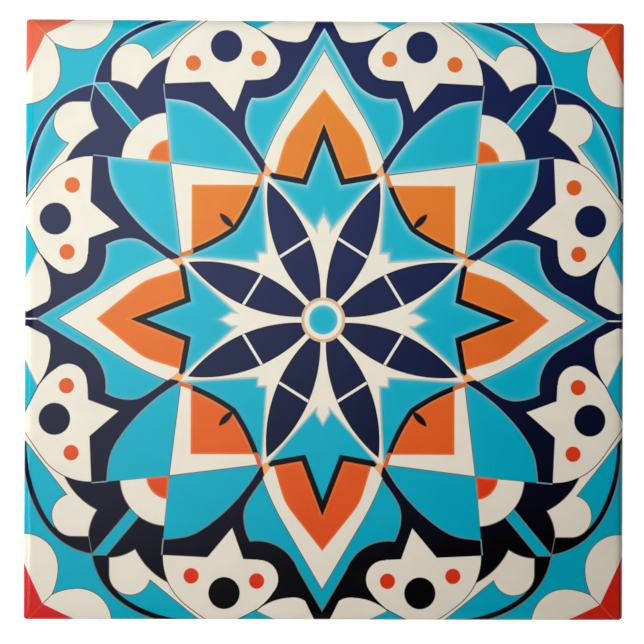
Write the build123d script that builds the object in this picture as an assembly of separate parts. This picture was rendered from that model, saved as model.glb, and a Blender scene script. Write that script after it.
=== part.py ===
from build123d import *

import os
from math import cos, radians, sin

# A square glazed wall tile, pressed and fired as one piece of earthenware.
# It lies on its back: the origin is the middle of the bedding face, +Z points out of the glazed face.

# Driving dimensions, in millimetres and degrees
face_width = 108.0          # side of the square, the 4 1/4 inch format
thickness = 6.4             # bedding face to glazed face
corner_radius = 0.7         # plan radius of the four upright corners
roll_width = 1.7            # how far the glazed face rolls in from the sides
roll_drop = 1.1             # how far it rolls down before the side runs straight
face_corner_radius = 1.6    # plan radius where the flat of the glazed face ends
roll_steps = 6              # outlines that carry the roll from the side to the flat
foot_chamfer = 0.4          # bevel around the bedding face
keys_each_way = 6           # an even count, so that two ribs cross in the middle
border_width = 9.0          # land left between the outermost keys and the sides
rib_width = 2.8             # land left between two keys
key_depth = 0.8             # a key is a shallow recess that holds adhesive
key_draft = 25.0            # slope of a key's walls, from upright
key_corner = 1.5            # plan radius of a key's corners at its mouth

# Worked out from the driving dimensions
shoulder_height = thickness - roll_drop
key_pitch = (face_width - 2 * border_width + rib_width) / keys_each_way
key_width = key_pitch - rib_width


def outline(inset, radius, height):
    """The tile's square outline with rounded corners, set in from the sides, at a height."""
    side = face_width - 2 * inset
    return Pos(0, 0, height) * RectangleRounded(side, side, radius)


def pressed_block():
    """The upright sides, from the bevelled foot to the shoulder where the roll starts."""
    block = extrude(outline(0, corner_radius, 0), shoulder_height)
    foot_edges = block.faces().sort_by(Axis.Z)[0].edges()
    return chamfer(foot_edges, foot_chamfer)


def rolled_face():
    """The cushion edge: outlines that follow a quarter ellipse from the shoulder in to the flat face."""
    outlines = []
    for step in range(roll_steps + 1):
        turn = radians(90 * step / roll_steps)
        share = 1 - cos(turn)
        radius = corner_radius + (face_corner_radius - corner_radius) * share
        outlines.append(outline(roll_width * share, radius, shoulder_height + roll_drop * sin(turn)))
    return loft(outlines)


def keys():
    """The grid of drafted recesses in the back, with a rib crossing in the middle of the tile."""
    mouth = RectangleRounded(key_width, key_width, key_corner)
    key = extrude(mouth, key_depth, taper=key_draft)
    return [place * key for place in GridLocations(key_pitch, key_pitch, keys_each_way, keys_each_way)]


ceramic_tile = pressed_block() + rolled_face() - keys()
ceramic_tile.label = "ceramic_tile"

os.makedirs("parts", exist_ok=True)
export_step(ceramic_tile, "parts/ceramic_tile.step")
print("keys each way:", keys_each_way, "each", round(key_width, 2), "wide at the mouth")
print("volume, cubic centimetres:", round(ceramic_tile.volume / 1000, 3))
print("box:", ceramic_tile.bounding_box().size)
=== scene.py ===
# %% [markdown]
# A printed wall tile, lying on its back with the glazed face up. Clay was pressed in a die, fired to a
# biscuit, glazed, printed with coloured enamels and fired again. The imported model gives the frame: its box
# and its one node are in metres, with the origin in the middle of the bedding face.

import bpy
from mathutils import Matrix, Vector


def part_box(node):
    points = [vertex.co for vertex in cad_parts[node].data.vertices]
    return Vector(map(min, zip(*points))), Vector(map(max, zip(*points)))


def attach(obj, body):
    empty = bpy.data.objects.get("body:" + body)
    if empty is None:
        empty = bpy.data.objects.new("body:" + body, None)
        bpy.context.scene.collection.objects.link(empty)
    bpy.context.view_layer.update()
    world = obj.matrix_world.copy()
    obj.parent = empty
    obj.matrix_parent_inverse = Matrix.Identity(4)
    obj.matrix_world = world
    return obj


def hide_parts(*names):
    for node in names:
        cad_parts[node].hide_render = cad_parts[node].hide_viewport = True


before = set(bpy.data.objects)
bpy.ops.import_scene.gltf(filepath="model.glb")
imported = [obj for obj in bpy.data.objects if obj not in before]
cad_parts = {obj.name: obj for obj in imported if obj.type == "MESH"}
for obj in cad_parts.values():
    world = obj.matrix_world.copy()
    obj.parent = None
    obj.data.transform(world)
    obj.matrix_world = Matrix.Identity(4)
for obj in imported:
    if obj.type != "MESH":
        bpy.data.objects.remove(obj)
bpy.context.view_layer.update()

# %% [markdown]
# The tile's width and thickness are read from the imported node and turned to millimetres. Every number
# below is likewise in millimetres, a size that could be measured on the tile.

# %% Measure the tile
import math

import bpy
import numpy as np

MM = 0.001
tile_low, tile_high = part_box("ceramic_tile")
half_width = (tile_high.x - tile_low.x) / 2 / MM
thickness = (tile_high.z - tile_low.z) / MM
print("half the width and the thickness, mm:", round(half_width, 3), round(thickness, 3))

# %% [markdown]
# Every outline on this tile is a square with rounded corners: the sides, the edge of the flat face, the
# foot, and each recess in the back. So one path does for all of it. A quarter of the path is a straight run
# and a corner arc, and turning that quarter by right angles gives the rest. A Bezier curve with a bevel
# could do the same, but a formula keeps the rolled edge smooth and the points of neighbouring rows in step.

# %% The path: a rounded square
def rounded_square(half, radius, side_steps, corner_steps):
    """Loops of points round squares with rounded corners, one row for each half width and radius.

    In the first quarter the right-hand side runs up in even steps from -centre to +centre, where centre is
    half - radius, and then the corner turns a quarter circle about (centre, centre). The other quarters are
    that one turned by 90, 180 and 270 degrees: (x, y) becomes (-y, x), (-x, -y) and (y, -x).
    """
    half = np.asarray(half, float)[:, None]
    radius = np.asarray(radius, float)[:, None]
    centre = half - radius
    run = np.linspace(-1, 1, side_steps, endpoint=False)[None, :]
    turn = np.linspace(0, math.pi / 2, corner_steps, endpoint=False)[None, :]
    x = np.hstack([half + 0 * run, centre + radius * np.cos(turn)])
    y = np.hstack([centre * run, centre + radius * np.sin(turn)])
    return np.hstack([x, -y, -x, y]), np.hstack([y, x, -y, -x])


def band_faces(rows, around):
    """Corner numbers of the quads between neighbouring rows of a closed band, wound to face outwards."""
    row, step = np.meshgrid(np.arange(rows - 1), np.arange(around), indexing="ij")
    ahead = (step + 1) % around
    inner, outer = row * around, (row + 1) * around
    corners = [inner + step, outer + step, outer + ahead, inner + ahead]
    return np.stack(corners, axis=-1).reshape(-1, 4)


# %% [markdown]
# The rolled edge of a pressed tile is a quarter ellipse: the face runs level, then falls away ever more
# steeply to the upright side. Carrying that profile round the path gives the whole outside, from the middle
# of the face to the middle of the back's border, as one grid of rows. The glaze was poured over the face
# and stops in an uneven line down the side, so one row of the grid wanders up and down with a few sine
# waves.

# %% The outside: face, roll, side, foot and border
roll_width, roll_drop = 1.7, 1.1
corner_radius, face_corner_radius = 0.7, 1.6
foot_chamfer = 0.4
border_width, rib_width, keys_each_way = 9.0, 2.8, 6
glaze_line_height, glaze_line_wander = 2.3, 0.45
steps_per_key, corner_steps = 8, 8
side_steps = steps_per_key * keys_each_way

face_share = np.array([0.0, 0.35, 0.65, 0.85, 0.95, 0.985])
face_half = half_width - roll_width
turn = np.linspace(math.pi / 2, 0, 13)
roll_inset = roll_width * (1 - np.cos(turn))
roll_radius = corner_radius + (face_corner_radius - corner_radius) * (1 - np.cos(turn))
roll_height = thickness - roll_drop + roll_drop * np.sin(turn)

field_half = half_width - border_width + rib_width / 2
row_half = np.concatenate([
    face_half * face_share, half_width - roll_inset,
    [half_width, half_width, half_width - foot_chamfer, field_half]])
row_radius = np.concatenate([
    face_corner_radius * face_share, roll_radius,
    [corner_radius, corner_radius, corner_radius - foot_chamfer, 0.0]])
row_height = np.concatenate([
    np.full(len(face_share), thickness), roll_height, [glaze_line_height, foot_chamfer, 0.0, 0.0]])
glaze_row = len(face_share) + len(turn)

x, y = rounded_square(row_half, row_radius, side_steps, corner_steps)
z = np.repeat(row_height[:, None], x.shape[1], axis=1)
around = np.linspace(0, 2 * math.pi, x.shape[1], endpoint=False)
waves, phases = np.array([3, 7, 16, 29]), np.array([0.4, 2.1, 5.0, 1.3])
wander = (np.sin(np.outer(waves, around) + phases[:, None]) / np.sqrt(waves)[:, None]).sum(0)
z[glaze_row] += glaze_line_wander * wander
outside_points = np.stack([x, y, z], axis=-1)
outside_faces = band_faces(*x.shape)
glazed = np.arange(len(outside_faces)) < glaze_row * x.shape[1]
print("outside: rows", x.shape[0], "points round", x.shape[1], "glaze line from",
      round(z[glaze_row].min(), 2), "to", round(z[glaze_row].max(), 2), "mm")

# %% [markdown]
# The back is pressed with a grid of shallow recesses, called keys, that hold the adhesive. One key with the
# half ribs round it is a square cell, and a cell is again rows of rounded squares: the cell's own edge, the
# key's mouth, the foot of its sloping wall, and a point in the middle of its floor. Numpy's broadcasting
# copies the cell to every place of the grid, so no key is modelled twice.

# %% The keys in the back
key_depth, key_corner, key_draft = 0.8, 1.5, math.radians(25)
key_corner_steps = 4
key_pitch = 2 * field_half / keys_each_way
key_half = (key_pitch - rib_width) / 2
wall_width = key_depth * math.tan(key_draft)
cell_half = [key_pitch / 2, key_half, key_half - wall_width, 0.0]
cell_radius = [0.0, key_corner, key_corner - wall_width, 0.0]
cell_x, cell_y = rounded_square(cell_half, cell_radius, steps_per_key, key_corner_steps)
cell_z = np.repeat(np.array([0.0, 0.0, key_depth, key_depth])[:, None], cell_x.shape[1], axis=1)
cell_points = np.stack([cell_x, cell_y, cell_z], axis=-1).reshape(-1, 3)

middles = (np.arange(keys_each_way) - (keys_each_way - 1) / 2) * key_pitch
places = np.stack(np.meshgrid(middles, middles, [0.0], indexing="ij"), axis=-1).reshape(-1, 1, 3)
key_points = (places + cell_points).reshape(-1, 3)
one_cell = band_faces(*cell_x.shape)
key_faces = (np.arange(len(places))[:, None, None] * len(cell_points) + one_cell).reshape(-1, 4)
print("keys:", len(places), "each", round(2 * key_half, 2), "mm wide, wall", round(wall_width, 3), "mm")

# %% [markdown]
# The grids share their edges, and where a row shrinks to a point or a sharp corner several of its points
# fall together. Rounding the coordinates to a tenth of a micrometre and keeping one point of each kind
# welds all of that at once. A quad that lost a corner becomes a triangle, and one that lost two is dropped.
# Blender's Merge by Distance would do it too; doing it on the arrays keeps each face's finish with it.

# %% Weld the grids into one closed mesh
points = np.vstack([outside_points.reshape(-1, 3), key_points])
quads = np.vstack([outside_faces, key_faces + outside_points.shape[0] * outside_points.shape[1]])
is_biscuit = np.concatenate([~glazed, np.ones(len(key_faces), bool)])
_, first, welded = np.unique(
    (points * 1e4).round().astype(np.int64), axis=0, return_index=True, return_inverse=True)
quads = welded.reshape(-1)[quads]

lost = quads == np.roll(quads, -1, axis=1)
whole = lost.sum(1) == 0
halved = lost.sum(1) == 1
kept_corners = ~lost[halved]
triangles = quads[halved][kept_corners].reshape(-1, 3)

mesh = bpy.data.meshes.new("glazed_tile")
mesh.from_pydata(points[first] * MM, [], quads[whole].tolist() + triangles.tolist())
finish_of_face = np.concatenate([is_biscuit[whole], is_biscuit[halved]]).astype(np.int32)
mesh.polygons.foreach_set("material_index", finish_of_face)
mesh.shade_smooth()
mesh.set_sharp_from_angle(angle=math.radians(30))
mesh.validate()
glazed_tile = bpy.data.objects.new("glazed_tile", mesh)
bpy.context.scene.collection.objects.link(glazed_tile)

edge_of_corner = np.empty(len(mesh.loops), np.int32)
mesh.loops.foreach_get("edge_index", edge_of_corner)
closed = bool((np.bincount(edge_of_corner) == 2).all())
print("tile mesh:", len(mesh.vertices), "points,", len(mesh.polygons), "faces, closed:", closed)

# %% [markdown]
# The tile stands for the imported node, which stays for collision. It rides on the one body there is.

# %% Put the tile in the frame
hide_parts("ceramic_tile")
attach(glazed_tile, "root")
print("the tile rides on root and stands for ceramic_tile")

# %% [markdown]
# Two small helpers serve every material. Colours are written as sRGB hex, as a paint chart gives them, and
# turned to the linear values that shaders reckon in. One function adds a node: it takes the node's kind, a
# dictionary that fills its sockets with plain values or links, and the node's own settings.

# %% Helpers for materials
def linear(code):
    """The linear RGBA of an sRGB hex colour: low values over 12.92, the others by the sRGB power law."""
    shares = np.array([int(code[i:i + 2], 16) for i in (1, 3, 5)]) / 255
    curve = np.where(shares <= 0.04045, shares / 12.92, ((shares + 0.055) / 1.055) ** 2.4)
    return (*curve.tolist(), 1.0)


def add_node(tree, kind, sockets=None, output=0, **settings):
    """Adds one node with its settings, fills its sockets, and returns one of its outputs if it has any."""
    node = tree.nodes.new(kind)
    for name, value in settings.items():
        setattr(node, name, value)
    for socket, value in (sockets or {}).items():
        if isinstance(value, bpy.types.NodeSocket):
            tree.links.new(value, node.inputs[socket])
        else:
            node.inputs[socket].default_value = value
    return node.outputs[output] if node.outputs else node


# %% [markdown]
# The back and the foot are bare biscuit: white earthenware, fired but not glazed. It is matt and a little
# chalky, with a fine grit from the pressed powder and faint cloudy stains where it touched the kiln shelf.
# Two noise textures give those two scales. Real grit is near 0.1 mm, too fine for the picture, so it is
# drawn at 0.4 mm.

# %% Biscuit: fired earthenware without glaze
biscuit = bpy.data.materials.new("fired earthenware biscuit")
biscuit.use_nodes = True
tree = biscuit.node_tree
tree.nodes.clear()
grit_size, cloud_size, grit_relief = 0.4, 14.0, 0.00004
spot = add_node(tree, "ShaderNodeTexCoord", output=3)
spot = add_node(tree, "ShaderNodeVectorMath", {0: spot, 3: 1 / MM}, operation="SCALE")
grit = add_node(tree, "ShaderNodeTexNoise", {"Vector": spot, "Scale": 1 / grit_size, "Detail": 2.0})
cloud = add_node(tree, "ShaderNodeTexNoise", {"Vector": spot, "Scale": 1 / cloud_size, "Detail": 4.0})
clay = add_node(tree, "ShaderNodeMix", {0: cloud, 6: linear("#D8CBB4"), 7: linear("#EDE4D2")}, 2,
                data_type="RGBA")
clay = add_node(tree, "ShaderNodeMix", {0: grit, 6: linear("#CDBFA8"), 7: clay}, 2, data_type="RGBA")
normal = add_node(tree, "ShaderNodeBump", {"Height": grit, "Distance": grit_relief})
surface = add_node(tree, "ShaderNodeBsdfPrincipled",
                   {"Base Color": clay, "Roughness": 0.85, "Normal": normal})
add_node(tree, "ShaderNodeOutputMaterial", {"Surface": surface})
print("biscuit nodes:", len(tree.nodes))

# %% [markdown]
# The face carries a printed rosette ornament of the kind laid round the Mediterranean for centuries: an
# eight-petalled flower in a star, pointed frames on the four sides, fans on the diagonals, and palmettes
# along the edges. Such ornament was set out with ruler and compass, and the material does the same. A shape
# is a field that is negative inside and positive outside: a disc is the distance to its centre less its
# radius, a half-plane the distance past a line. The larger of two fields is where both shapes hold, the
# smaller where either does. Everything is in millimetres on the object's own coordinates, so the drawing
# stays on the tile.

# %% Glaze: shapes to draw with
glaze = bpy.data.materials.new("glossy glaze with printed enamels")
glaze.use_nodes = True
tree = glaze.node_tree
tree.nodes.clear()
spot = add_node(tree, "ShaderNodeTexCoord", output=3)
spot = add_node(tree, "ShaderNodeVectorMath", {0: spot, 3: 1 / MM}, operation="SCALE")


def disc(place, middle, radius):
    """Field of a disc: distance to the middle, less the radius."""
    away = add_node(tree, "ShaderNodeVectorMath", {0: place, 1: (*middle, 0)}, 1, operation="DISTANCE")
    return add_node(tree, "ShaderNodeMath", {0: away, 1: radius}, operation="SUBTRACT")


def left_of(place, start, end, grow=0.0):
    """Field of the half-plane to the left of the line from start to end, moved out by grow."""
    heading = np.subtract(end, start) / math.dist(start, end)
    outward = (heading[1], -heading[0], 0)
    past = add_node(tree, "ShaderNodeVectorMath", {0: place, 1: outward}, 1, operation="DOT_PRODUCT")
    offset = float(np.dot(outward[:2], start)) + grow
    return add_node(tree, "ShaderNodeMath", {0: past, 1: offset}, operation="SUBTRACT")


def combine(fields, choice, bend):
    """Folds several fields into one by SMOOTH_MAX or SMOOTH_MIN; corners round off over the bend."""
    joined = fields[0]
    for field in fields[1:]:
        joined = add_node(tree, "ShaderNodeMath", {0: joined, 1: field, 2: bend}, operation=choice)
    return joined


def all_of(*fields, bend=0.0):
    """Where every shape holds: the largest field."""
    return combine(fields, "SMOOTH_MAX", bend)


def any_of(*fields, bend=0.0):
    """Where at least one shape holds: the smallest field."""
    return combine(fields, "SMOOTH_MIN", bend)


def beyond(field, grow=0.0):
    """Everything that a shape, grown by a margin, leaves out: grow less the field."""
    return add_node(tree, "ShaderNodeMath", {0: grow, 1: field}, operation="SUBTRACT")


def along(field, width):
    """A band along a shape's border: the field's size without its sign, less half the width."""
    off = add_node(tree, "ShaderNodeMath", {0: field}, operation="ABSOLUTE")
    return add_node(tree, "ShaderNodeMath", {0: off, 1: width / 2}, operation="SUBTRACT")


# %% [markdown]
# The ornament is the same in each eighth of the square, so it is drawn once. The print sits a third of a
# millimetre left of the tile's middle and is pulled by one percent, narrower across and taller upwards, so
# the place is shifted and stretched first. Taking the absolute value of x and y then folds the four
# quarters onto one, and putting the smaller of the two first folds that quarter along its diagonal. The
# folded place is called wedge: its first number runs across from the tile's axis, its second outwards. The
# flower in the middle has eight petals, so it gets a place of its own, measured across and along the axis
# of a petal, which lies half way between the tile's axis and its diagonal. A third place follows the
# diagonal.

# %% Fold the face to one wedge
print_shift, print_stretch = (-0.32, 0.07), (0.99, 1.01)
print_spot = add_node(tree, "ShaderNodeVectorMath", {0: spot, 1: (*print_shift, 0)}, operation="SUBTRACT")
print_spot = add_node(tree, "ShaderNodeVectorMath", {0: print_spot, 1: (*print_stretch, 1)},
                      operation="DIVIDE")
quarter = add_node(tree, "ShaderNodeVectorMath", {0: print_spot}, operation="ABSOLUTE")
sideways = add_node(tree, "ShaderNodeSeparateXYZ", {0: quarter})
upwards = add_node(tree, "ShaderNodeSeparateXYZ", {0: quarter}, 1)
near = add_node(tree, "ShaderNodeMath", {0: sideways, 1: upwards}, operation="MINIMUM")
far = add_node(tree, "ShaderNodeMath", {0: sideways, 1: upwards}, operation="MAXIMUM")
wedge = add_node(tree, "ShaderNodeCombineXYZ", {0: near, 1: far})


def turned(angle):
    """Where the wedge's places lie across and along an axis that leans from outwards by an angle."""
    axis = (math.sin(angle), math.cos(angle), 0)
    square_to_axis = (axis[1], -axis[0], 0)
    ahead = add_node(tree, "ShaderNodeVectorMath", {0: wedge, 1: axis}, 1, operation="DOT_PRODUCT")
    aside = add_node(tree, "ShaderNodeVectorMath", {0: wedge, 1: square_to_axis}, 1, operation="DOT_PRODUCT")
    aside = add_node(tree, "ShaderNodeMath", {0: aside}, operation="ABSOLUTE")
    return add_node(tree, "ShaderNodeCombineXYZ", {0: aside, 1: ahead})


def above(level):
    """Field of everything farther out than a level."""
    return left_of(wedge, (0, level), (1, level))


def below(level):
    """Field of everything nearer to the middle than a level."""
    return left_of(wedge, (1, level), (0, level))


def right_of(offset):
    """Field of everything farther across than an offset."""
    return left_of(wedge, (offset, 1), (offset, 0))


petal_place = turned(math.radians(22.5))
diagonal_place = turned(math.radians(45))
print("nodes to fold the face:", len(tree.nodes))

# %% [markdown]
# Enamels are laid one over another, as a printer lays inks: each shape covers what is under it. The edge of
# a print is not razor sharp, so the cover runs from none to full over a tenth of a millimetre. Turquoise
# thins out to a pale glow at its border. The glow is a steep power of the nearness to the border, so it is
# strong in the last half millimetre and dies away over two. The colours darken towards the foot of the
# tile and a little towards its right: orange to vermilion, navy nearly to black, and the pale glow fades
# out. This is partly the enamels' own change and partly painted shade, for the light that falls off away
# from the upper left. The red of the corners is salmon at the left and scarlet at the right.

# %% Enamels and how they are laid
BROWN, GOLD, PEACH = linear("#4A4238"), linear("#CFB083"), linear("#E9A463")
GREY = linear("#8FA3A3")
edge, fine, broad = 0.05, 0.16, 0.2
wide_glow, narrow_glow, glow_steepness, pool_width = 2.2, 0.6, 5.0, 0.5
burn_and_shade_reach, glow_foot = 45.0, -20.0


def burnt_and_shaded(upper, lower, lean):
    """A colour that darkens down the face, partly painted shade, along a line that leans right by a slope."""
    level = add_node(tree, "ShaderNodeVectorMath", {0: spot, 1: (-lean, 1, 0)}, 1, operation="DOT_PRODUCT")
    share = add_node(tree, "ShaderNodeMapRange", {0: level, 1: burn_and_shade_reach, 2: -burn_and_shade_reach, 3: 0.0, 4: 1.0})
    ends = {6: linear(upper), 7: linear(lower)}
    return add_node(tree, "ShaderNodeMix", {0: share, **ends}, 2, data_type="RGBA")


# Colours that darken towards the foot: partly the enamels' own change, partly painted shade.
cream, turquoise = burnt_and_shaded("#E4DFD0", "#E3DAC9", 0.5), burnt_and_shaded("#0EADC2", "#03A0B9", 0.6)
navy, ink = burnt_and_shaded("#14214E", "#040408", 0.15), burnt_and_shaded("#0A0D20", "#040405", 0.15)
petal_navy, rim = burnt_and_shaded("#142559", "#03071A", 0.15), burnt_and_shaded("#A8CBD0", "#6E695C", 0.0)
orange, amber = burnt_and_shaded("#DA8226", "#DA461D", 0.15), burnt_and_shaded("#E59A38", "#DE6428", 0.15)
ember = burnt_and_shaded("#D86C26", "#D63115", 0.3)
salmon, scarlet = burnt_and_shaded("#DA6148", "#CD2928", 0.0), burnt_and_shaded("#DA4018", "#CD2010", 0.0)
across_face = add_node(tree, "ShaderNodeSeparateXYZ", {0: spot})
rightness = add_node(tree, "ShaderNodeMapRange",
                     {0: across_face, 1: -burn_and_shade_reach, 2: burn_and_shade_reach, 3: 0.0, 4: 1.0})
red = add_node(tree, "ShaderNodeMix", {0: rightness, 6: salmon, 7: scarlet}, 2, data_type="RGBA")
up_face = add_node(tree, "ShaderNodeSeparateXYZ", {0: spot}, 1)
glow_end = add_node(tree, "ShaderNodeMapRange", {0: up_face, 1: burn_and_shade_reach, 2: glow_foot, 3: 0.0, 4: 1.0})
pale = add_node(tree, "ShaderNodeMix", {0: glow_end, 6: linear("#9AD3DA"), 7: turquoise}, 2, data_type="RGBA")
paint = navy


def lay(shape, colour, soft=edge):
    """Covers the paint so far with a colour inside a shape: full cover a soft edge inside the border."""
    cover = add_node(tree, "ShaderNodeMapRange", {0: shape, 1: soft, 2: -soft, 3: 0.0, 4: 1.0})
    return add_node(tree, "ShaderNodeMix", {0: cover, 6: paint, 7: colour}, 2, data_type="RGBA")


def lay_pooled(shape, colour, edge_colour, edge_width=pool_width, steepness=1.0):
    """Lays a colour that goes over to another at the border: the nearness to it, raised to the steepness."""
    nearness = add_node(tree, "ShaderNodeMapRange", {0: shape, 1: -edge_width, 2: 0.0, 3: 0.0, 4: 1.0})
    share = add_node(tree, "ShaderNodeMath", {0: nearness, 1: steepness}, operation="POWER")
    pooled = add_node(tree, "ShaderNodeMix", {0: share, 6: colour, 7: edge_colour}, 2, data_type="RGBA")
    return lay(shape, pooled)


def lay_turquoise(shape, glow=wide_glow):
    """Lays turquoise with a pale glow of that width along the shape's border."""
    return lay_pooled(shape, turquoise, pale, glow, glow_steepness)


# %% [markdown]
# The corners come first, since everything else is laid over their edges: a turquoise ground beyond a navy
# ribbon that swings round each corner, two cream petals that meet on the diagonal, and a red corner with an
# orange vein. The ribbon is drawn with three arcs that touch, each tighter than the one before: a wide one
# along the side, so that it runs just inside the tile's edge there, one round the corner, and one where two
# ribbons meet.

# %% Corners
ribbon_middle, ribbon_radius, ribbon_width = (26.0, 36.0), 17.8, 1.0
ribbon_joint = left_of(wedge, ribbon_middle, (33.2, 52.3))
ribbon_arcs = any_of(disc(wedge, ribbon_middle, ribbon_radius),
                     all_of(disc(wedge, (23.03, 29.46), 25.0), ribbon_joint))
ribbon_meet = (41.8, 41.8)
ribbon_edge = all_of(ribbon_arcs, any_of(disc(wedge, (29.37, 40.01), 12.56),
                                         left_of(wedge, ribbon_middle, (37.45, 49.63))))
corner_ground = all_of(beyond(ribbon_edge), right_of(22.0))
paint = lay_turquoise(corner_ground, narrow_glow)
paint = lay(along(corner_ground, fine), rim)

petal_middle = 44.3
corner_petal = any_of(disc(wedge, (petal_middle, 54.03), 6.13),
                      all_of(disc(wedge, (petal_middle, 58.4), 10.5), right_of(petal_middle)))
paint = lay(corner_petal, cream)
on_diagonal = left_of(diagonal_place, (0, 0), (0, 1))
petal_lines = any_of(along(corner_petal, fine), all_of(along(on_diagonal, fine), above(49.0)))
paint = lay(petal_lines, BROWN)
corner_red = left_of(wedge, (43.9, 53.9), (50.5, 50.75))
paint = lay(corner_red, red)
paint = lay(all_of(along(on_diagonal, broad), above(50.7)), orange)
print("nodes after the corners:", len(tree.nodes))

# %% [markdown]
# Inside the ribbon a cream stem comes down from the tile's edge at about 45 degrees and ends in a round
# lobe with a pointed foot. The foot is hollowed by two discs, one on each side, so it ends in a curved
# beak. The sickle of ground between stem, lobe and ribbon is turquoise.

# %% Stems and lobes
stem_top, stem_notch = (22.3, 53.5), (31.1, 46.5)
ribbon_inside = any_of(disc(wedge, ribbon_middle, ribbon_radius - ribbon_width),
                       all_of(disc(wedge, (21.44, 25.77), 28.0), ribbon_joint))
sickle = all_of(ribbon_inside, left_of(wedge, stem_top, stem_notch), left_of(wedge, stem_notch, (37.2, 48.6)))
paint = lay_turquoise(sickle)

stem = all_of(left_of(wedge, stem_notch, stem_top), beyond(right_of(33.0)))
lobe = any_of(disc(wedge, (34.9, 45.3), 3.8), all_of(below(45.3), beyond(right_of(38.7))))
hollows = any_of(disc(wedge, (22.52, 35.4), 12.65), disc(wedge, (38.84, 33.85), 8.55))
stem_and_lobe = all_of(any_of(stem, lobe), beyond(hollows), above(40.2), left_of(wedge, (20, 54), (54, 20)))
paint = lay(stem_and_lobe, cream)
paint = lay(along(stem_and_lobe, fine), BROWN)
print("nodes after the lobes:", len(tree.nodes))

# %% [markdown]
# On each diagonal, where the fans meet, a cream quarter disc with a hot red heart opens towards the corner.
# A slim turquoise leaf carries on from it. The leaf leans off the diagonal a little, so it is drawn in the
# quarter and not in the wedge. A fan is the area between a large arc, its flat top, its upright edge and
# the kite below.

# %% Leaves, quarter discs and fans
leaf_start, leaf_end, leaf_half_width, lobe_corner = (34.4, 34.75), (40.55, 42.0), 1.05, (42.4, 38.7)
below_leaf_end = left_of(quarter, leaf_end, (0, leaf_end[1]))
leaf = all_of(left_of(quarter, leaf_start, leaf_end, leaf_half_width), above(33.0), below_leaf_end,
              left_of(quarter, leaf_end, leaf_start, leaf_half_width))
paint = lay_turquoise(leaf, narrow_glow)
leaf_line = all_of(along(left_of(quarter, ribbon_meet, lobe_corner), fine), below_leaf_end,
                   left_of(quarter, (0, lobe_corner[1]), lobe_corner))
paint = lay(any_of(along(leaf, fine), leaf_line), rim)

fan_foot, fan_meet, fan_top = (11.6, 25.85), (27.85, 27.85), (28.9, 39.2)
right_of_fan = left_of(wedge, fan_top, fan_meet)
cream_quarter = all_of(disc(wedge, (28.2, 28.2), 8.6), right_of_fan)
paint = lay(cream_quarter, cream)
paint = lay(along(cream_quarter, fine), BROWN)
heart = all_of(disc(wedge, (28.0, 28.1), 3.9), right_of_fan)
paint = lay_pooled(heart, ember, amber)

above_kite = left_of(wedge, fan_foot, fan_meet)
fan_middle, fan_radius, ground_width = (39.46, 10.44), 32.2, 1.4
fan_arc = all_of(disc(wedge, fan_middle, fan_radius), left_of(wedge, fan_top, (23.5, 38.75)), bend=1.6)
fan = all_of(fan_arc, beyond(right_of_fan), above_kite)
paint = lay_turquoise(fan)
paint = lay(all_of(along(fan_arc, fine), beyond(right_of_fan), above_kite), rim)
fan_line = all_of(along(right_of_fan, broad), above(39.0), below(41.9))
paint = lay(fan_line, GREY)
print("nodes after the fans:", len(tree.nodes))

# %% [markdown]
# Palmettes sit two to a side along the tile's edge: a shield with round shoulders on a pointed foot, with a
# navy dot in its middle and a red-orange one at each side. Between two palmettes a cream scallop hangs from
# the edge, with a turquoise bead beside it.

# %% Scallops and palmettes
scallop = any_of(disc(wedge, (5.2, 53.4), 4.0), all_of(disc(wedge, (5.42, 59.65), 10.2), right_of(5.4)))
scallop = all_of(scallop, left_of(wedge, (1.2, 53.7), (2.85, 50.4)))
paint = lay(scallop, cream)
paint = lay(along(scallop, fine), ink)
bead = all_of(left_of(wedge, (7.0, 54.25), (12.0, 51.85)), beyond(right_of(18.5)))
paint = lay_turquoise(bead, narrow_glow)
paint = lay(along(bead, fine), rim)
axis_line = all_of(left_of(quarter, (1, 0.12), (0, 0.12)), left_of(quarter, (51.6, 1), (51.6, 0)))
paint = lay(axis_line, cream)

above_brow = left_of(wedge, (11.36, 42.7), (29.05, 41.9))
shoulders = any_of(disc(wedge, (11.36, 46.21), 3.43), all_of(disc(wedge, (17.5, 42.9), 10.35), above(48.0)),
                   all_of(disc(wedge, (18.1, 42.2), 10.9), above_brow, right_of(15.0)))
shield = all_of(above_brow, right_of(11.4), left_of(wedge, (16.05, 53.8), (12.6, 52.0)),
                left_of(wedge, (24.3, 51.2), (20.9, 53.6)), beyond(right_of(24.3)))
tip = (16.35, 36.95)
foot = all_of(left_of(wedge, (14.3, 42.6), tip), left_of(wedge, tip, (20.9, 42.3)), below(44.0))
palmette = any_of(shoulders, shield, foot)
paint = lay(palmette, cream)
paint = lay(along(palmette, fine), ink)
navy_dot_radius, side_dot_radius = 2.85, 1.38
paint = lay(disc(wedge, (17.8, 48.7), navy_dot_radius), navy)
side_dots = any_of(disc(wedge, (11.9, 46.55), side_dot_radius), disc(wedge, (23.8, 45.65), side_dot_radius))
paint = lay(side_dots, ember)
print("nodes after the palmettes:", len(tree.nodes))

# %% [markdown]
# A pointed frame stands on each axis: from outside in, a turquoise border with a bulb at each side, a cream
# band, an orange chevron and a navy line shaped like an M. The M's inner border is set out first, because
# the chevron, the line and the turquoise within all stop at it. The cream band is bounded by an arc below
# and the arc's tangent above, which overlap a little so that no seam shows. Band and border keep clear of
# the fan, so the navy ground runs down between them as a line.

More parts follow.
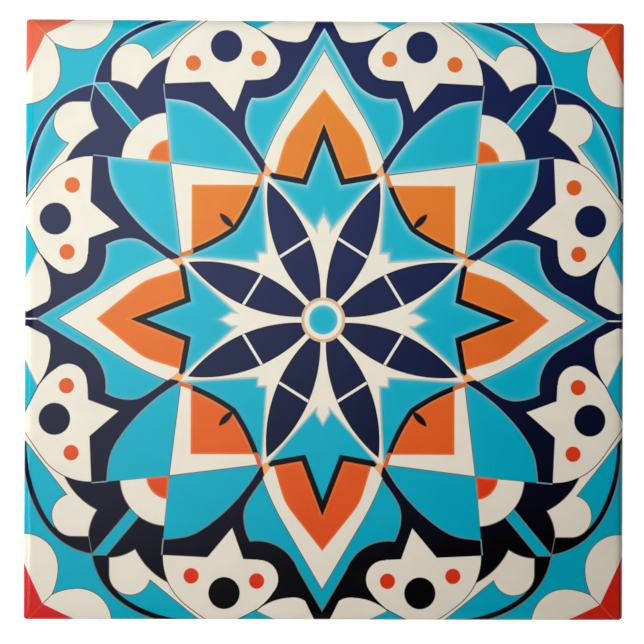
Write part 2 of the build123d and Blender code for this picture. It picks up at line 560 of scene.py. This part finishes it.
# %% Pointed frames
m_shoulder, m_valley, m_apex, m_width = (9.5, 25.1), (3.15, 24.0), (0.0, 32.1), 1.05
inside_m = any_of(left_of(wedge, m_shoulder, m_valley), left_of(wedge, m_valley, m_apex))
outside_m = beyond(inside_m, m_width)
band_side = all_of(disc(wedge, (-34.1, 11.6), 48.0), below(36.3))
band_point = all_of(left_of(wedge, (7.4, 35.7), (0.0, 48.1)), above(35.1))
clear_of_fan = beyond(disc(wedge, fan_middle, fan_radius + ground_width))
frame_band = all_of(any_of(band_side, band_point), outside_m, clear_of_fan)

border_point = all_of(left_of(wedge, (5.2, 43.15), (0.0, 51.9)), above(38.0))
bulb = disc(wedge, (5.3, 35.0), 9.0)
bulb_side = all_of(beyond(right_of(9.0)), below(43.0), above(28.0))
border_outline = all_of(any_of(border_point, bulb, bulb_side), clear_of_fan, bend=2.0)
border = all_of(border_outline, beyond(disc(wedge, (11.9, 47.41), 8.04)), beyond(frame_band), outside_m)
paint = lay_turquoise(border)
paint = lay(along(border, fine), rim)
paint = lay(frame_band, cream)
paint = lay(along(frame_band, fine), BROWN)

chevron_side = left_of(wedge, (8.75, 26.4), (7.0, 32.3))
chevron_point = left_of(wedge, (7.0, 32.5), (0.0, 41.2))
chevron = all_of(all_of(chevron_side, chevron_point, bend=1.2), outside_m)
paint = lay_pooled(chevron, orange, amber)
m_line = all_of(beyond(outside_m), beyond(right_of(9.5)))
paint = lay(m_line, ink)
print("nodes after the frames:", len(tree.nodes))

# %% [markdown]
# A cream kite fills each diagonal between two frames. In it lies an orange patch behind a navy line. The
# line is a wide arc whose middle lies past the diagonal, so the fold gives it a blunt corner there, where
# it sprouts one small bud. A bud is a pointed oval: a disc cut by the fold of the diagonal's own place, so
# its other side is the mirror image.

# %% Kites
def pointed_oval(place, start, end, half_width):
    """Field of a pointed oval along a folded axis: the disc through both ends and the widest point."""
    half_length, middle = (end - start) / 2, (start + end) / 2
    radius = (half_length ** 2 + half_width ** 2) / (2 * half_width)
    return disc(place, (half_width - radius, middle), radius)


kite_middle, kite_radius, line_width, orange_level = (43.52, 35.61), 34.0, 1.0, 24.0
kite_disc = disc(wedge, kite_middle, kite_radius)
kite = all_of(beyond(above_kite), kite_disc)
paint = lay(kite, cream)
paint = lay(along(kite, fine), BROWN)
kite_line = all_of(kite_disc, beyond(kite_disc, -line_width))
orange_quarter = all_of(disc(wedge, kite_middle, kite_radius - line_width), below(orange_level))
paint = lay_pooled(orange_quarter, orange, amber)
bud = pointed_oval(diagonal_place, 23.0, 26.8, 0.6)
paint = lay(any_of(all_of(kite_line, below(orange_level)), bud), ink)
print("nodes after the kites:", len(tree.nodes))

# %% [markdown]
# The star is cream with eight points, and small spikes stand in its notches. Turquoise fills what is left
# between the star, the frames and the kites, so its shape leaves the star out and the pale glow follows the
# star's edge. Where a kite's line meets a frame it turns vermilion and is knotted with a peach-coloured
# bead.

# %% Star and field
star_tip, star_end, star_angle, star_soft = 29.2, 26.0, math.radians(19.2), 0.25
star_body = left_of(petal_place, (star_tip * math.tan(star_angle), 0.0), (0.0, star_tip))
axis_spike = all_of(left_of(wedge, (1.3, 16.6), (0.0, 18.7)), beyond(right_of(1.2)))
diagonal_spike = all_of(left_of(diagonal_place, (1.33, 15.45), (0.0, 16.8)),
                        left_of(diagonal_place, (1.35, 0.0), (1.35, 30.0)))
star = any_of(all_of(star_body, below(star_end)), axis_spike, diagonal_spike)
field = all_of(inside_m, beyond(kite), any_of(below(25.6), beyond(right_of(9.4))), beyond(star))
paint = lay_turquoise(field)
paint = lay(star, cream, star_soft)

knot_corners = ((9.4, 26.3), (10.3, 25.4), (11.0, 25.9), (10.6, 27.8))
knot_sides = zip(knot_corners, knot_corners[1:] + knot_corners[:1])
knot = all_of(*(left_of(wedge, start, end) for start, end in knot_sides))
paint = lay(knot, PEACH)
stroke_width = 0.75
knot_stroke = along(disc(wedge, kite_middle, kite_radius - line_width / 2), stroke_width)
paint = lay(all_of(knot_stroke, above(23.7), below(26.2)), orange)
print("nodes after the star:", len(tree.nodes))

# %% [markdown]
# The flower in the star has eight navy petals with a cream bar across each, and an eye of turquoise in a
# cream and gold ring. On the folded petal place one pointed oval gives all eight petals.

# %% The flower
petal = pointed_oval(petal_place, 1.9, 26.4, 3.1)
paint = lay(petal, petal_navy)
paint = lay(along(petal, broad), ink)
bar_width = 0.5
bar = all_of(along(left_of(wedge, (2.7, 14.5), (7.8, 11.3)), bar_width), petal)
paint = lay(bar, cream)

eye_radius, ring_radius, gold_radius = 2.6, 3.45, 4.0
paint = lay(disc(wedge, (0.0, 0.0), gold_radius), GOLD)
paint = lay(disc(wedge, (0.0, 0.0), ring_radius), cream)
paint = lay_turquoise(disc(wedge, (0.0, 0.0), eye_radius))
print("nodes after the flower:", len(tree.nodes))

# %% [markdown]
# What makes it a glaze: a glassy coat of refractive index 1.5 over the colours, smooth but never quite
# flat. It pooled in the kiln into ripples some millimetres long, which shows when a reflection slides over
# the face, and its gloss is a little uneven. The enamels beneath are slightly cloudy. The print stops at
# the shoulder, and below that the side is plain cream glaze down to the uneven glaze line.

# %% Glaze: clouds, ripples and gloss
cloud_size, ripple_size, ripple_relief = 6.0, 7.0, 0.00002
print_end, cloud_span = (5.0, 5.2), (0.25, 0.75)
shade_span, gloss_span, glass_index = (0.97, 1.03), (0.09, 0.16), 1.5
cloud = add_node(tree, "ShaderNodeTexNoise", {"Vector": spot, "Scale": 1 / cloud_size, "Detail": 5.0})
cloudiness = {0: cloud, 1: cloud_span[0], 2: cloud_span[1]}
shade = add_node(tree, "ShaderNodeMapRange", {**cloudiness, 3: shade_span[0], 4: shade_span[1]})
paint = add_node(tree, "ShaderNodeVectorMath", {0: paint, 3: shade}, operation="SCALE")
level = add_node(tree, "ShaderNodeSeparateXYZ", {0: spot}, 2)
printed = add_node(tree, "ShaderNodeMapRange", {0: level, 1: print_end[0], 2: print_end[1], 3: 0.0, 4: 1.0})
paint = add_node(tree, "ShaderNodeMix", {0: printed, 6: cream, 7: paint}, 2, data_type="RGBA")
ripple = add_node(tree, "ShaderNodeTexNoise", {"Vector": spot, "Scale": 1 / ripple_size, "Detail": 1.0})
normal = add_node(tree, "ShaderNodeBump", {"Height": ripple, "Distance": ripple_relief})
gloss = add_node(tree, "ShaderNodeMapRange", {**cloudiness, 3: gloss_span[0], 4: gloss_span[1]})
surface = add_node(tree, "ShaderNodeBsdfPrincipled",
                   {"Base Color": paint, "Roughness": gloss, "IOR": glass_index, "Normal": normal})
add_node(tree, "ShaderNodeOutputMaterial", {"Surface": surface})
mesh.materials.append(glaze)
mesh.materials.append(biscuit)
print("glaze nodes:", len(tree.nodes))

# %% [markdown]
# The tile lies on a white table. The table is bright enough by itself to look white to the camera and in
# reflections, through the Light Path node. Lamp light comes on top of that, so only a trace of the tile's
# shadow is left, as in the photograph.

# %% Table
table_half, table_gap, table_glow = 3.0, 0.00005, 0.9
table_mesh = bpy.data.meshes.new("table")
corners = np.array([(-1, -1, 0), (1, -1, 0), (1, 1, 0), (-1, 1, 0)]) * table_half - (0, 0, table_gap)
table_mesh.from_pydata(corners, [], [(0, 1, 2, 3)])
table = bpy.data.objects.new("table", table_mesh)
bpy.context.scene.collection.objects.link(table)
white = bpy.data.materials.new("white table top")
white.use_nodes = True
tree = white.node_tree
tree.nodes.clear()
seen = add_node(tree, "ShaderNodeLightPath")
mirrored = add_node(tree, "ShaderNodeLightPath", output=3)
seen = add_node(tree, "ShaderNodeMath", {0: seen, 1: mirrored}, operation="MAXIMUM")
through_glass = add_node(tree, "ShaderNodeLightPath", output=6)
seen = add_node(tree, "ShaderNodeMath", {0: seen, 1: through_glass}, operation="MAXIMUM")
glow = add_node(tree, "ShaderNodeMath", {0: seen, 1: table_glow}, operation="MULTIPLY")
surface = add_node(tree, "ShaderNodeBsdfPrincipled", {
    "Base Color": linear("#F4F3F0"), "Roughness": 0.8,
    "Emission Color": linear("#FFFFFF"), "Emission Strength": glow})
add_node(tree, "ShaderNodeOutputMaterial", {"Surface": surface})
table_mesh.materials.append(white)
print("table nodes:", len(tree.nodes))

# %% [markdown]
# The light comes from the left of the picture. A soft round lamp stands well to that side, so that its own
# reflection misses the camera. It is fitted with a grid, which Blender calls spread: the light is fullest
# where the lamp points, at the upper left of the face, and falls off gently towards the lower right. It is
# kept out of reflections, as a polarising filter before the lens would keep it, so no glare runs along the
# rolled edge.

# %% Lamp and world
lamp_place, lamp_aim = np.array([-0.373, -0.039, 0.438]), np.array([-0.04, 0.031, 0.0])
lamp_data = bpy.data.lights.new("window lamp", "AREA")
lamp_data.shape = "DISK"
lamp_data.size = 0.27
lamp_data.spread = math.radians(26.5)
lamp_data.energy = 0.235
lamp = bpy.data.objects.new("window lamp", lamp_data)
bpy.context.scene.collection.objects.link(lamp)
lamp.location = lamp_place
lamp.visible_glossy = False
beam = lamp_aim - lamp_place
lamp.rotation_euler = (math.atan2(math.hypot(beam[0], beam[1]), -beam[2]), 0, math.atan2(-beam[0], beam[1]))

world = bpy.data.worlds.new("studio")
bpy.context.scene.world = world
world.use_nodes = True
world.node_tree.nodes["Background"].inputs["Color"].default_value = linear("#FFFFFF")
world.node_tree.nodes["Background"].inputs["Strength"].default_value = 0.1
bpy.context.scene.view_settings.view_transform = "Standard"
print("lamp at", lamp_place.tolist(), "pointing at", lamp_aim.tolist())

# %% [markdown]
# Overhead hangs a dark panel with a soft round patch of light. The glaze mirrors it to the camera as a
# faint sheen on the left of the face, strongest above the middle, which lifts the navy there and leaves it
# deep at the right.

# %% Panel for the sheen
panel_half, panel_height = 0.3, 0.85
patch_middle, patch_radius, patch_strength = (-0.108, 0.066), 0.245, 1.4
panel_mesh = bpy.data.meshes.new("panel")
corners = np.array([(-1, 1, 0), (1, 1, 0), (1, -1, 0), (-1, -1, 0)]) * panel_half + (0, 0, panel_height)
panel_mesh.from_pydata(corners, [], [(0, 1, 2, 3)])
panel = bpy.data.objects.new("panel", panel_mesh)
bpy.context.scene.collection.objects.link(panel)
cloth = bpy.data.materials.new("panel with a patch of light")
cloth.use_nodes = True
tree = cloth.node_tree
tree.nodes.clear()
spot = add_node(tree, "ShaderNodeTexCoord", output=3)
patch_place = (*patch_middle, panel_height)
away = add_node(tree, "ShaderNodeVectorMath", {0: spot, 1: patch_place}, 1, operation="DISTANCE")
glow = add_node(tree, "ShaderNodeMapRange", {0: away, 1: patch_radius, 2: 0.0, 3: 0.0, 4: patch_strength},
                interpolation_type="SMOOTHSTEP")
surface = add_node(tree, "ShaderNodeEmission", {"Color": linear("#FFFFFF"), "Strength": glow})
add_node(tree, "ShaderNodeOutputMaterial", {"Surface": surface})
panel_mesh.materials.append(cloth)
print("panel at", panel_height, "m, patch at", patch_middle)

# %% [markdown]
# The photograph looks down on the face from far off, so a long lens is held high above the tile, far enough
# that the tile takes up the share of the picture that it has in the photograph. The tile tapers and turns
# by a fraction of a degree there, so the camera stands 18 mm left of the middle, leans back towards the
# tile by less than two degrees, and turns by a quarter of a degree.

# %% Camera
camera_place = np.array([-18.33, -3.22, 585.8]) * MM
camera_lean = np.radians([0.28, -1.76, 0.25])
lens, sensor = 180.0, 36.0
camera_data = bpy.data.cameras.new("camera")
camera_data.lens = lens
camera_data.sensor_width = sensor
camera = bpy.data.objects.new("camera", camera_data)
bpy.context.scene.collection.objects.link(camera)
camera.location = camera_place
camera.rotation_euler = camera_lean
bpy.context.scene.camera = camera
print("camera height:", round(camera.location.z, 3), "m")
